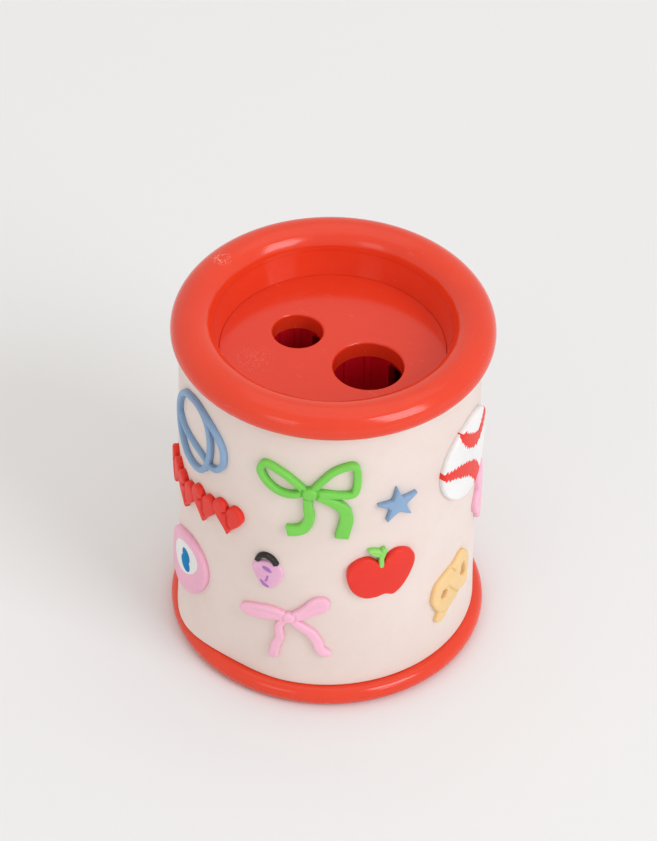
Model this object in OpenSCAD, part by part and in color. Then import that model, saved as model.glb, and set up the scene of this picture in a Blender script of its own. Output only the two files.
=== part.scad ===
// Double-hole pencil sharpener shaped like a spool: a shavings cup in a soft sleeve with raised
// charms, closed by a lid that holds the sharpener block. Standing on z = 0, axis on Z, the two
// pencil holes on the X axis, blades on the +Y side.

/* [Overall] */
// Diameter of the rim and of the base flange
outer_d = 52; // [48:1:70]
// Height from the table to the top of the rim
total_h = 63; // [58:1:90]
// Thickness of the base flange, whose edge is fully rounded
base_t = 3.5; // [2.5:0.1:5]

/* [Cup and sleeve] */
// Step from the flange edge in to the sleeve's outer face
sleeve_inset = 1.65; // [1.4:0.05:4]
// Thickness of the soft sleeve
sleeve_t = 1.5; // [1:0.1:2.5]
// Wall of the shavings cup
cup_wall = 1.65; // [1.2:0.05:2.4]
// Floor of the shavings cup
cup_floor = 2; // [1.5:0.1:3]
// Depth of the shallow recess under the cup
foot_recess = 0.6; // [0.3:0.1:1]
// Gap between the sleeve's upper edge and the rim
sleeve_gap = 0.1; // [0.05:0.05:0.5]
// Height of the charms above the sleeve
charm_h = 1.1; // [0.6:0.1:1.2]

/* [Rim] */
// Width of the crowned rim
rim_w = 6.9; // [5:0.1:8.3]
// Height of the crown above the rim's widest line
crown_h = 3.2; // [2:0.1:4]
// Radius of the rim's lower edge
rim_under_r = 1.75; // [1:0.05:2]
// Depth of the recess from the top of the rim to the plate
recess_depth = 7.5; // [6:0.1:12]
// Draft of the recess wall, measured across its height
recess_draft = 0.9; // [0.2:0.05:1]
// Radial clearance between the lid's spigot and the cup
spigot_clearance = 0.08; // [0.02:0.01:0.1]
// Width of the ledge that carries the plate
ledge_w = 2; // [1.2:0.1:3]
// Thickness of the ledge
ledge_t = 1.6; // [1.2:0.1:3]

/* [Pencil holes] */
// Diameter of the hole for standard pencils
small_hole_d = 8.1; // [7.5:0.1:9]
// Diameter of the hole for thick pencils
large_hole_d = 11.3; // [10.5:0.1:13.7]
// Distance between the two holes
hole_spacing = 14; // [13:0.1:17]
// Radius that rounds the upper edge of each hole
hole_edge_r = 0.45; // [0.3:0.05:1.2]
// Thickness of the plate
plate_t = 3; // [2.5:0.1:4]
// Gap of the seam round the plate
seam = 0.02; // [0.02:0.01:0.2]

/* [Sharpener block] */
// Half angle of the small cone
small_cone_a = 11.5; // [10:0.5:13]
// Half angle of the large cone
large_cone_a = 15; // [12:0.5:16]
// Length of the straight guide above each cone
guide_h = 7.2; // [4:0.1:8]
// Thickness of the block's top flange
flange_t = 3; // [2.5:0.5:4]
// Wall left round the larger guide
core_wall = 1.8; // [1.4:0.1:2.4]
// Number of guide ribs in each hole
rib_count = 10; // [6:1:14]
// Width of a guide rib
rib_w = 0.9; // [0.6:0.1:1.2]
// Width of the throat where the shavings leave
throat_w = 2.8; // [2:0.1:3.4]
// Width of the window beside each guide, as a share of the hole's radius
window_share = 0.55; // [0.3:0.05:0.6]

/* [Blades and screws] */
// Thickness of a blade
blade_t = 0.6; // [0.4:0.05:0.8]
// Width of a blade, from its back to its cutting edge
blade_w = 7.6; // [7:0.1:8]
// Width of the ground bevel
bevel_w = 1.3; // [0.8:0.1:1.6]
// How far the cutting edge reaches into the cone
edge_bite = 0.12; // [0.05:0.01:0.2]
// Diameter of the hole in a blade
blade_hole_d = 3; // [2.8:0.1:3.4]
// Shank diameter of all four screws
screw_d = 2.4; // [2:0.1:2.6]
// Head diameter of all four screws
head_d = 4.4; // [4:0.1:4.8]
// Head height of all four screws
head_h = 1.3; // [1:0.1:1.6]
// Distance of the block's two fixing screws from the axis
fixing_y = 11.8; // [11:0.1:12.5]

/* [Hidden] */
$fn = 96;

// colours
red = "#ee4f3c";
crimson = "#7d000c";
cream = "#e6dad2";
steel = "#c4c6c8";
green = "#7dd255";
pink = "#f4b6c5";
rose = "#eab0c8";
sky = "#92aed0";
blue = "#0a86b8";
heart_red = "#d8372c";
white = "#f6f5f1";
tan_yellow = "#fad89e";
black = "#241f1e";

// derived radii
outer_r = outer_d / 2;
sleeve_r = outer_r - sleeve_inset;
cup_r = sleeve_r - sleeve_t;
cup_in_r = cup_r - cup_wall;
spigot_r = cup_in_r - spigot_clearance;
recess_r = outer_r - rim_w;
plate_r = recess_r - recess_draft - seam;
ledge_r = plate_r - ledge_w;
flange_play = 0.5;
flange_r = ledge_r - flange_play;

// derived heights
widest_z = total_h - crown_h;
rim_z = widest_z - rim_under_r;
plate_z = total_h - recess_depth;
plate_under_z = plate_z - plate_t;
spigot_z = plate_under_z - ledge_t;
cone_z = plate_under_z - guide_h;
flange_z = plate_under_z - flange_t;
cup_corner_r = 1.5;
spigot_chamfer = 0.5;
plate_chamfer = 0.08;

// the two pencil holes: centre, radius and cone half angle
small_x = -hole_spacing / 2;
large_x = hole_spacing / 2;
small_r = small_hole_d / 2;
large_r = large_hole_d / 2;
guide_play = 0.25;
rib_play = 0.06;
tip_share = 0.05;
cone_depth = large_r / tan(large_cone_a);
below_tip = 1;
core_z = cone_z - cone_depth - below_tip;
core_half_y = large_r + core_wall;
core_step = 0.4;
window_top_gap = 0.8;
window_past = 1;
core_r = flange_r - core_step;
seat_top_gap = 0.8;
seat_below = 12;
seat_overlap = 0.2;
blade_gap = 0.6;
seat_split = large_x - blade_w - blade_gap;
clear_y = 20;
throat_start = 0.12;
blade_overrun = 0.5;
blade_top_gap = 0.2;
screw_depth = 4;
fixing_depth = 2;
screw_tip_gap = 0.2;
slot_w = 0.7;
slot_depth = 0.6;
slack = 1;

// ---- outlines ------------------------------------------------------------------------------

function arc(cx, cy, rx, ry, a0, a1, n) =
    [for (i = [0:n]) let (a = a0 + (a1 - a0) * i / n) [cx + rx * cos(a), cy + ry * sin(a)]];

function blend_point(a, b, c, d, t) =
    0.5 * (2 * b + (c - a) * t + (2 * a - 5 * b + 4 * c - d) * t * t
        + (3 * b - a - 3 * c + d) * t * t * t);

// smooth closed curve through the points
function smooth_loop(p, n = 4) =
    let (m = len(p))
    [for (i = [0:m - 1]) for (k = [0:n - 1])
        blend_point(p[(i + m - 1) % m], p[i], p[(i + 1) % m], p[(i + 2) % m], k / n)];

// smooth open curve through the points
function smooth_line(p, n = 4) =
    let (m = len(p))
    concat([for (i = [0:m - 2]) for (k = [0:n - 1])
        blend_point(p[max(i - 1, 0)], p[i], p[i + 1], p[min(i + 2, m - 1)], k / n)], [p[m - 1]]);

function side_of(p, i) =
    let (a = p[max(i - 1, 0)], b = p[min(i + 1, len(p) - 1)], d = b - a)
    [-d[1], d[0]] / norm(d);

// outline of a stroke of width w along a line
function band(p, w) = concat(
    [for (i = [0:len(p) - 1]) p[i] + side_of(p, i) * w / 2],
    [for (i = [len(p) - 1:-1:0]) p[i] - side_of(p, i) * w / 2]);

function star_outline(r_tip, r_in, turn) =
    [for (i = [0:9]) let (r = i % 2 == 0 ? r_tip : r_in, a = turn + 36 * i) [r * cos(a), r * sin(a)]];

function heart_outline(w, h, n = 28) =
    [for (i = [0:n - 1]) let (a = 360 * i / n)
        [w / 2 * pow(sin(a), 3),
         h / 29 * (13 * cos(a) - 5 * cos(2 * a) - 2 * cos(3 * a) - cos(4 * a) + 2.5)]];

function flower_outline(r, depth, petals, n = 60) =
    [for (i = [0:n - 1]) let (a = 360 * i / n, s = r - depth + depth * abs(sin(petals * a / 2)))
        [s * cos(a), s * sin(a)]];

module stroke(p, w) {
    polygon(band(smooth_line(p, 3), w));
}

module ring(p, w) {
    difference() {
        offset(delta = w / 2) polygon(smooth_loop(p, 3));
        offset(delta = -w / 2) polygon(smooth_loop(p, 3));
    }
}

// joins its children into one clean outline
module joined() {
    offset(delta = 0) children();
}

// ---- charms --------------------------------------------------------------------------------

// a raised piece on the sleeve, drawn flat with x to the right and y up; at holds its angle and
// its height as a share of the sleeve's
module on_sleeve(at) {
    intersection() {
        difference() {
            cylinder(r = sleeve_r + charm_h, h = total_h);
            translate([0, 0, -slack]) cylinder(r = sleeve_r, h = total_h + 2 * slack);
        }
        rotate([0, 0, at[0] + 90]) translate([0, 0, base_t + at[1] * (rim_z - base_t)])
            rotate([90, 0, 0]) linear_extrude(height = outer_r) children();
    }
}

module green_bow_outline() {
    w = 1.15;
    joined() {
        ring([[-0.6, 0.8], [-2.2, 2.6], [-4.2, 4.1], [-6.7, 5.1], [-7.5, 3.5], [-6.5, 1.4],
            [-4.6, 0], [-2.4, -0.2]], w);
        ring([[0.9, 1], [2.4, 3.5], [4.3, 5.5], [6.9, 6.3], [7.5, 3.9], [7.1, 0.6], [5, 0.3],
            [2.8, 0.6]], w);
        translate([0.3, 0.6]) square([1.7, 1.5], center = true);
        stroke([[-0.1, -0.2], [0.1, -2.8], [0.3, -4.8], [-0.4, -6.8], [-1.6, -7.7], [-3.2, -8.1]],
            w + 0.55);
        stroke([[1, 0.2], [3.7, -1.1], [5.5, -2.7], [6, -4.8], [5.7, -6.8], [5.3, -8.8]], w + 0.75);
    }
}

module pink_bow_outline() {
    w = 1.4;
    joined() {
        polygon(smooth_loop([[-0.6, 0.9], [-3.3, 1.6], [-5.6, 1.3], [-8, 0.5], [-8.8, -0.6],
            [-7.6, -1.5], [-5.5, -1.4], [-2.9, -0.8], [-0.6, -0.2]]));
        polygon(smooth_loop([[-0.3, 1], [1.5, 2.9], [3, 4.8], [4.4, 5.3], [5.6, 4.9],
            [5.8, 3.4], [5, 2.4], [3.3, 1.4], [1.8, 0.4], [0.2, -0.1]]));
        translate([-0.5, 0.4]) circle(r = 1, $fn = 24);
        stroke([[-0.9, 0.1], [-2.1, -2], [-2, -4.5], [-2.6, -6.4], [-3, -8.9]], w);
        stroke([[-0.3, 0.1], [1.6, -1.5], [3.1, -2.7], [4, -4.4], [4.6, -6.3], [5.6, -7.2]], w);
    }
}

module star_charm_outline() {
    polygon(star_outline(3.5, 1.6, 94));
}

module apple_outline() {
    polygon(smooth_loop([[-0.6, 2.4], [-2.5, 4], [-4.4, 3.8], [-5.9, 2.3], [-6.1, -0.1],
        [-5.2, -2.8], [-3.4, -4.4], [-1.4, -4.6], [0, -4.3], [1.5, -4.8], [3.2, -3.4],
        [4.6, -0.9], [5.2, 1.4], [4.7, 3.2], [3.2, 4.3], [1.6, 4.5], [0.1, 3.5]]));
}

module leaf_outline() {
    joined() {
        stroke([[-0.7, 1.9], [-0.7, 3.8], [-0.3, 5.4]], 0.9);
        polygon([[-0.4, 3.9], [-1.5, 4.3], [-2.3, 4.9], [-2.9, 5.8], [-1.6, 5.7], [-0.4, 5]]);
    }
}

module cap_outline() {
    w = 1;
    joined() {
        ring([[-4.6, 3.6], [-6.4, 0.8], [-6.9, -2.6], [-5.9, -5.8], [-3.7, -8.1], [-0.8, -8.8],
            [1.4, -8], [2.9, -5.3], [3.4, -1.6], [3, 1.8], [1.8, 4], [-0.2, 5], [-2.6, 4.7]], w);
        stroke([[1.6, 4.3], [3.6, 3], [5.3, 1.2], [6.2, -0.8], [6.2, -3.4], [5.1, -5.3],
            [3.8, -5.8], [2.6, -5.5]], w);
        stroke([[-6.6, -2.2], [-4.5, -3.6], [-1.5, -4.2], [1.2, -4.9], [2.8, -5.6]], w);
    }
}

module disc_outline() {
    polygon(smooth_loop([[-6.8, 1.8], [-4.2, 3.8], [-1.2, 5.2], [1.2, 5.5], [3.6, 4.5], [5, 2.1],
        [5, -0.6], [3.7, -3.5], [1.3, -6.1], [-1.4, -7.2], [-4.2, -7.8], [-7.4, -7.6],
        [-9, -5.2], [-8.6, -1.4]]));
}

module oval_outline() {
    translate([-1.2, 0.1]) rotate(36) polygon(arc(0, 0, 4.9, 3, 0, 351, 39));
}

module centre_outline() {
    joined() {
        translate([-0.4, 1.1]) circle(r = 1.4, $fn = 24);
        translate([-0.6, -0.7]) circle(r = 1.6, $fn = 24);
    }
}

module purse_outline() {
    polygon(smooth_loop([[-3, 1.1], [-2.5, -0.6], [-1.6, -2.2], [-0.8, -2.9], [0, -3.1],
        [0.9, -2.6], [1.8, -1.4], [2.4, 0], [2.4, 1.4], [1.6, 2.5], [0.4, 2.9], [-0.8, 2.8],
        [-2.1, 2.2]]));
}

module handle_outline() {
    stroke([[-2, 2.5], [-1.6, 3.5], [-0.7, 4.1], [0.3, 3.9], [0.9, 3.3], [1.3, 2.6]], 0.95);
}

module ball_outline() {
    circle(r = 7.9, $fn = 72);
}

// a seam drawn as a band with a ragged edge, which runs out past the ball's edge
module seam_band(p) {
    w = 1.7;
    rag = 0.45;
    line = smooth_line(p, 3);
    n = len(line) - 1;
    polygon(concat(
        [for (i = [0:n]) line[i] + side_of(line, i) * (w / 2 + (i % 2 == 0 ? rag : 0))],
        [for (i = [n:-1:0]) line[i] - side_of(line, i) * (w / 2 + (i % 2 == 0 ? 0 : rag))]));
}

module seams_outline() {
    seam_band([[-5.4, 9], [-4.2, 7.4], [-2.8, 5.8], [-1, 3.9], [1.8, 2.3], [4.2, 3.4],
        [6.3, 5.4], [8.2, 7.6]]);
    seam_band([[-9.4, 1.3], [-6.4, 0.3], [-4.4, -0.4], [-2.1, -1.5], [0.4, -3.2], [2.3, -5.8],
        [3.4, -9]]);
}

module tan_bow_outline() {
    difference() {
        polygon(smooth_loop([[1.8, 5.2], [3.4, 3.6], [3.6, 1.6], [3.3, -0.6], [3.1, -2.6],
            [1.8, -2.9], [0.3, -2.7], [-0.8, -3.5], [-1.8, -3.9], [-2.7, -4.4], [-3.6, -5.5],
            [-4.9, -6], [-5.7, -5.2], [-5.2, -3.7], [-5.9, -2.4], [-6.6, -0.6], [-6.5, 0.9],
            [-6, 2.4], [-4.8, 3.4], [-3.3, 4], [-1.7, 4.3], [-0.6, 4.7], [0.6, 5.3]]));
        polygon(smooth_loop([[1.6, 2.7], [2.4, 0.8], [2.4, -0.6], [1.3, -0.1], [0.6, 0.7],
            [0.7, 2]]));
        polygon(smooth_loop([[-4.6, 0.7], [-3.2, 0.2], [-3.6, -1.2], [-4.5, -0.9]]));
    }
}

module flower_charm_outline() {
    polygon(flower_outline(5.2, 1.3, 5));
}

// hearts that touch side by side, from right to left
module garland(first_angle, shares) {
    heart_w = 6;
    heart_h = 6.7;
    pitch = heart_w - 0.5;
    union() {
        for (i = [0:len(shares) - 1])
            on_sleeve([first_angle - asin(pitch / sleeve_r) * i, shares[i]])
                polygon(heart_outline(heart_w, heart_h));
    }
}

// each charm's angle, and its height as a share of the sleeve's
green_at = [-62.5, 0.78];
pink_at = [-67.5, 0.275];
star_at = [-28.5, 0.713];
apple_at = [-33, 0.45];
cap_at = [-112, 0.852];
disc_at = [-118, 0.275];
purse_at = [-77, 0.431];
ball_at = [10.5, 0.72];
tan_at = [5, 0.247];
flower_at = [32.5, 0.433];
back_apple_at = [84, 0.376];
back_green_at = [112, 0.761];
back_pink_at = [124, 0.284];
back_star_at = [[70, 0.797], [166, 0.376]];

module green_bow() color(green) on_sleeve(green_at) green_bow_outline();
module pink_bow() color(pink) on_sleeve(pink_at) pink_bow_outline();
module blue_star() color(sky) on_sleeve(star_at) star_charm_outline();
module heart_garland() color(heart_red) garland(-94.8, [0.586, 0.566, 0.538, 0.546]);
module blue_cap() color(sky) on_sleeve(cap_at) cap_outline();
module tan_bow() color(tan_yellow) on_sleeve(tan_at) tan_bow_outline();
module pink_flower() color(pink) on_sleeve(flower_at) flower_charm_outline();
module back_green_bow() color(green) on_sleeve(back_green_at) green_bow_outline();
module back_pink_bow() color(pink) on_sleeve(back_pink_at) pink_bow_outline();
module back_hearts() color(heart_red) garland(192, [0.669, 0.647, 0.658]);

// the apple is cut out round its stem
module apple_pair(at, stem) {
    if (stem)
        color(green) on_sleeve(at) leaf_outline();
    else
        color(heart_red) on_sleeve(at) joined() difference() {
            apple_outline();
            leaf_outline();
        }
}

module apple() apple_pair(apple_at, false);
module apple_leaf() apple_pair(apple_at, true);
module back_apple() apple_pair(back_apple_at, false);
module back_apple_leaf() apple_pair(back_apple_at, true);

module back_stars() {
    color(sky) for (at = back_star_at)
        on_sleeve(at) star_charm_outline();
}

// inlaid pieces share their outlines with the piece round them
module pink_disc() {
    color(rose) on_sleeve(disc_at) joined() difference() {
        disc_outline();
        oval_outline();
    }
}

module disc_oval() {
    color(white) on_sleeve(disc_at) joined() difference() {
        oval_outline();
        centre_outline();
    }
}

module disc_centre() {
    color(blue) on_sleeve(disc_at) centre_outline();
}

module purse_patch() {
    color(rose) on_sleeve(purse_at) joined() difference() {
        purse_outline();
        handle_outline();
    }
}

module purse_handle() {
    color(black) on_sleeve(purse_at) handle_outline();
}

module ball() {
    color(white) on_sleeve(ball_at) joined() difference() {
        ball_outline();
        seams_outline();
    }
}

module ball_stitches() {
    color(heart_red) on_sleeve(ball_at) joined() intersection() {
        ball_outline();
        seams_outline();
    }
}

// ---- cup and sleeve ------------------------------------------------------------------------

module waste_cup() {
    edge_r = base_t / 2;
    foot_r = cup_in_r;
    color(red) rotate_extrude() polygon(concat(
        [[0, foot_recess], [foot_r, foot_recess], [foot_r + foot_recess, 0]],
        arc(outer_r - edge_r, edge_r, edge_r, edge_r, -90, 90, 18),
        [[cup_r, base_t], [cup_r, rim_z], [cup_in_r, rim_z]],
        arc(cup_in_r - cup_corner_r, cup_floor + foot_recess + cup_corner_r,
            cup_corner_r, cup_corner_r, 0, -90, 6),
        [[0, cup_floor + foot_recess]]));
}

module silicone_sleeve() {
    color(cream) translate([0, 0, base_t]) difference() {
        cylinder(r = sleeve_r, h = rim_z - sleeve_gap - base_t);
        translate([0, 0, -slack]) cylinder(r = cup_r, h = total_h);
    }
}

// ---- lid -----------------------------------------------------------------------------------

module rim_collar() {
    color(red) rotate_extrude() polygon(concat(
        [[ledge_r, spigot_z], [spigot_r - spigot_chamfer, spigot_z],
         [spigot_r, spigot_z + spigot_chamfer], [spigot_r, rim_z]],
        arc(outer_r - rim_under_r, widest_z, rim_under_r, rim_under_r, -90, 0, 9),
        arc(outer_r - rim_w / 2, widest_z, rim_w / 2, crown_h, 6, 180, 29),
        [[recess_r - recess_draft, plate_z], [recess_r - recess_draft, plate_under_z],
         [ledge_r, plate_under_z]]));
}

// removes what lies outside the rounded upper edge of a hole
module hole_edge_cut(r) {
    rotate_extrude() polygon(concat(
        [[0, slack], [r + hole_edge_r, slack]],
        arc(r + hole_edge_r, -hole_edge_r, hole_edge_r, hole_edge_r, 90, 180, 10),
        [[0, -hole_edge_r]]));
}

module sharpener_plate() {
    color(red) difference() {
        rotate_extrude() polygon([[0, plate_under_z], [plate_r, plate_under_z],
            [plate_r, plate_z - plate_chamfer], [plate_r - plate_chamfer, plate_z], [0, plate_z]]);
        for (hole = [[small_x, small_r], [large_x, large_r]])
            translate([hole[0], 0, plate_z]) {
                translate([0, 0, -plate_t - slack]) cylinder(r = hole[1], h = plate_t + 2 * slack);
                hole_edge_cut(hole[1]);
            }
        for (side = [-1, 1])
            translate([0, side * fixing_y, plate_under_z - slack])
                cylinder(d = screw_d, h = fixing_depth + slack);
    }
}

// the frame of a blade: z runs up along the cone's side, y points away from the cone's axis, and
// y = 0 lies a little inside the cone, so that the cutting edge bites
module blade_frame(x, r, a) {
    translate([x, 0, cone_z - r / tan(a)]) rotate([-a, 0, 0]) translate([0, -edge_bite, 0])
        children();
}

function side_length(r, a) = r / sin(a);

module pencil_bore(x, r, a) {
    depth = (1 - tip_share) * r / tan(a);
    translate([x, 0, cone_z]) {
        difference() {
            cylinder(r = r + guide_play, h = guide_h + slack);
            for (i = [0:rib_count - 1])
                rotate([0, 0, 360 * (i + 0.5) / rib_count])
                    translate([r + rib_play, -rib_w / 2, -slack])
                        cube([1, rib_w, guide_h + 3 * slack]);
        }
        translate([0, 0, -depth]) cylinder(r1 = r * tip_share, r2 = r, h = depth + 0.01);
    }
}

// window through the guide's wall above the cutting edge, which meets the throat below
module guide_window(x, r) {
    translate([x, 0, cone_z - window_past])
        cube([window_share * r, core_half_y + window_past, guide_h + window_past - window_top_gap]);
}

// clears the blade's seat, the throat beside its edge and the hole for its screw; the seat runs
// from left to right of the blade's cutting edge
module blade_cuts(x, r, a, left, right) {
    len_a = side_length(r, a);
    seat_len = len_a - seat_top_gap;
    blade_frame(x, r, a) {
        translate([-left, 0, -seat_below]) cube([left + right, clear_y, seat_below + seat_len]);
        translate([0, -r / 2, len_a * throat_start])
            cube([throat_w, clear_y, len_a * (1 - throat_start) - 2 * seat_top_gap]);
        translate([-blade_w / 2, 0, len_a / 2]) rotate([90, 0, 0])
            cylinder(d = screw_d, h = screw_depth);
    }
}

module sharpener_core() {
    color(crimson) difference() {
        union() {
            translate([0, 0, flange_z]) cylinder(r = flange_r, h = flange_t);
            translate([0, 0, core_z]) linear_extrude(height = flange_z - core_z + slack)
                intersection() {
                    circle(r = core_r);
                    square([3 * core_r, 2 * core_half_y], center = true);
                }
        }
        pencil_bore(small_x, small_r, small_cone_a);
        pencil_bore(large_x, large_r, large_cone_a);
        guide_window(small_x, small_r);
        guide_window(large_x, large_r);
        blade_cuts(small_x, small_r, small_cone_a, outer_r, seat_split - small_x + seat_overlap);
        blade_cuts(large_x, large_r, large_cone_a, large_x - seat_split, outer_r);
        for (side = [-1, 1])
            translate([0, side * fixing_y, flange_z - slack])
                cylinder(d = screw_d, h = flange_t + 2 * slack);
    }
}

module blade(x, r, a) {
    len_a = side_length(r, a);
    color(steel) blade_frame(x, r, a) difference() {
        translate([0, 0, -blade_overrun])
            linear_extrude(height = len_a + blade_overrun - seat_top_gap - blade_top_gap)
                polygon([[-blade_w, 0], [0, 0], [-bevel_w, blade_t], [-blade_w, blade_t]]);
        translate([-blade_w / 2, 2, len_a / 2]) rotate([90, 0, 0])
            cylinder(d = blade_hole_d, h = 4);
    }
}

module small_blade() blade(small_x, small_r, small_cone_a);
module large_blade() blade(large_x, large_r, large_cone_a);

// pan-head screw with its head's underside on z = 0 and its shank along -z
module screw(shank) {
    difference() {
        union() {
            cylinder(d = head_d, h = head_h);
            translate([0, 0, -shank]) cylinder(d = screw_d, h = shank + 0.1);
        }
        translate([-head_d, -slot_w / 2, head_h - slot_depth])
            cube([2 * head_d, slot_w, slot_depth + slack]);
    }
}

module blade_screws() {
    color(steel) for (hole = [[small_x, small_r, small_cone_a], [large_x, large_r, large_cone_a]])
        blade_frame(hole[0], hole[1], hole[2])
            translate([-blade_w / 2, blade_t, side_length(hole[1], hole[2]) / 2])
                rotate([-90, 0, 0]) screw(blade_t + screw_depth - screw_tip_gap);
}

module core_screws() {
    color(steel) for (side = [-1, 1])
        translate([0, side * fixing_y, flange_z]) rotate([180, 0, 0])
            screw(flange_t + fixing_depth - screw_tip_gap);
}

waste_cup();
silicone_sleeve();
rim_collar();
sharpener_plate();
sharpener_core();
small_blade();
large_blade();
blade_screws();
core_screws();
green_bow();
pink_bow();
blue_star();
apple();
apple_leaf();
heart_garland();
blue_cap();
pink_disc();
disc_oval();
disc_centre();
purse_patch();
purse_handle();
ball();
ball_stitches();
tan_bow();
pink_flower();
back_stars();
back_apple();
back_apple_leaf();
back_green_bow();
back_pink_bow();
back_hearts();
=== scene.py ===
# %% [markdown]
# # A spool-shaped pencil sharpener
# The part is a red plastic cup in a soft cream sleeve, with a lid that holds two sharpeners.
# The hard pieces come in as the frame, at their real size, and keep their shape here.
# This lesson gives them their finish, and models the soft pieces: the sleeve, which sits a
# little crooked as silicone does, and the raised rubber charms that follow its surface.

# %% Load the frame
import math
import bpy
import numpy as np
from mathutils import Matrix, Vector
from mathutils.geometry import delaunay_2d_cdt


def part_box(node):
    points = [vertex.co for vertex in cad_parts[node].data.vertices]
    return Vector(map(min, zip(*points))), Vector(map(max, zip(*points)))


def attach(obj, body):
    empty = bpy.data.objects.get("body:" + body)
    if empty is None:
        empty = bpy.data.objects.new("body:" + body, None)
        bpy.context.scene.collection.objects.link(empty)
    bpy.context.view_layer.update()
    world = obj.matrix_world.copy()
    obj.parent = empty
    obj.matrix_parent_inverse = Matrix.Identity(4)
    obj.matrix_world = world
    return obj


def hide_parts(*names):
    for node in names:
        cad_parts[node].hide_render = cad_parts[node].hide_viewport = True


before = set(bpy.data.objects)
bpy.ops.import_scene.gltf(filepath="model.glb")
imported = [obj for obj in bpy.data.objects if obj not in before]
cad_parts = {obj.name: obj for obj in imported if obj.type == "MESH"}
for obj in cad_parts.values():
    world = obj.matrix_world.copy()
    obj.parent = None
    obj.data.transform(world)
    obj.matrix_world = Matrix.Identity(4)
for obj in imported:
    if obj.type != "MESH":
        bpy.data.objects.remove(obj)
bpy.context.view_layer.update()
MM = 0.001

# %% [markdown]
# ## Sizes taken from the frame
# The sleeve's radius and height and the rim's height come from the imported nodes, so a new pack
# of a bigger sharpener carries this script with it. Only the sleeve's thickness is typed again,
# because a box can't tell it. Lengths below are in millimetres, because that is how a maker
# thinks of a part this small.

# %% Measure the pieces
def node_box(node):
    low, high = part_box(node)
    return np.array(low) / MM, np.array(high) / MM


sleeve_low, sleeve_high = node_box("silicone_sleeve")
cup_top = node_box("waste_cup")[1][2]
sleeve_r = sleeve_high[0]
sleeve_bottom, sleeve_top = sleeve_low[2], sleeve_high[2]
sleeve_height = cup_top - sleeve_bottom
sleeve_t = 1.5
cup_r = sleeve_r - sleeve_t
total_height = node_box("rim_collar")[1][2]
print("sleeve radius", sleeve_r.round(2), "from", sleeve_bottom.round(2), "to",
      sleeve_top.round(2))

# %% [markdown]
# ## Camera
# A long lens from well above the table looks down into the recess, so that both holes show and
# the sides stay nearly straight. The camera is set from a turntable angle, a height angle and a
# distance, which is easier to reason about than a bare position.

# %% Place the camera
view_turn = math.radians(35.3)
view_height = math.radians(41.88)
view_roll = math.radians(1.38)
view_distance = 764.8
view_centre_z = 26.0
view_offset = (0.17, -10.36)
lens_mm = 199.66


def camera_axes(turn, height, roll):
    right = Vector((math.cos(turn), math.sin(turn), 0))
    forward = Vector((-math.sin(turn) * math.cos(height), math.cos(turn) * math.cos(height),
                      -math.sin(height)))
    up = right.cross(forward)
    tilted_right = right * math.cos(roll) + up * math.sin(roll)
    tilted_up = up * math.cos(roll) - right * math.sin(roll)
    return tilted_right, tilted_up, forward


cam_right, cam_up, cam_forward = camera_axes(view_turn, view_height, view_roll)
cam_place = (Vector((0, 0, view_centre_z)) - cam_right * view_offset[0]
             - cam_up * view_offset[1] - cam_forward * view_distance) * MM
camera = bpy.data.objects.new("camera", bpy.data.cameras.new("camera"))
camera.data.lens = lens_mm
camera.data.clip_start = 0.01
camera.matrix_world = Matrix.Translation(cam_place) @ Matrix(
    (cam_right, cam_up, -cam_forward)).transposed().to_4x4()
bpy.context.scene.collection.objects.link(camera)
bpy.context.scene.camera = camera
print("camera at", [round(x, 3) for x in cam_place])

# %% [markdown]
# ## Studio
# A product table is a pale sheet under big soft lamps. A large key lamp to the right of the
# camera makes the long highlight on the rim, a weaker one to the left opens the shadows, a wide
# one overhead lights the recess, and a bright dome fills the rest. The plain colour transform
# keeps the plastic's saturated red.

# %% Floor, sky and lamps
def node(tree, kind, **values):
    made = tree.nodes.new(kind)
    for name, value in values.items():
        setattr(made, name, value)
    return made


def floor_material():
    mat = bpy.data.materials.new("pale_table")
    mat.use_nodes = True
    tree = mat.node_tree
    shader = tree.nodes["Principled BSDF"]
    noise = node(tree, "ShaderNodeTexNoise")
    noise.inputs["Scale"].default_value = 6
    ramp = node(tree, "ShaderNodeValToRGB")
    ramp.color_ramp.elements[0].color = (0.80, 0.80, 0.80, 1)
    ramp.color_ramp.elements[1].color = (0.83, 0.825, 0.82, 1)
    tree.links.new(noise.outputs["Fac"], ramp.inputs["Fac"])
    tree.links.new(ramp.outputs["Color"], shader.inputs["Base Color"])
    shader.inputs["Roughness"].default_value = 0.8
    shader.inputs["Specular IOR Level"].default_value = 0.2
    return mat


def soft_lamp(name, turn_from_view, height, distance, size, power, colour=(1, 1, 1)):
    """A rectangular lamp aimed at the middle of the object; angles in degrees, metres, watts."""
    turn = view_turn + math.radians(turn_from_view)
    lift = math.radians(height)
    aim = Vector((0, 0, 0.03))
    away = Vector((math.sin(turn) * math.cos(lift), -math.cos(turn) * math.cos(lift),
                   math.sin(lift)))
    data = bpy.data.lights.new(name, "AREA")
    data.shape = "RECTANGLE"
    data.size, data.size_y = size
    data.energy = power
    data.color = colour
    lamp = bpy.data.objects.new(name, data)
    lamp.location = aim + away * distance
    lamp.rotation_euler = (-away).to_track_quat("-Z", "Y").to_euler()
    bpy.context.scene.collection.objects.link(lamp)


floor_mesh = bpy.data.meshes.new("table")
reach = 6.0
floor_mesh.from_pydata([(-reach, -reach, 0), (reach, -reach, 0), (reach, reach, 0),
                        (-reach, reach, 0)], [], [(0, 1, 2, 3)])
floor = bpy.data.objects.new("table", floor_mesh)
floor_mesh.materials.append(floor_material())
bpy.context.scene.collection.objects.link(floor)

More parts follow.
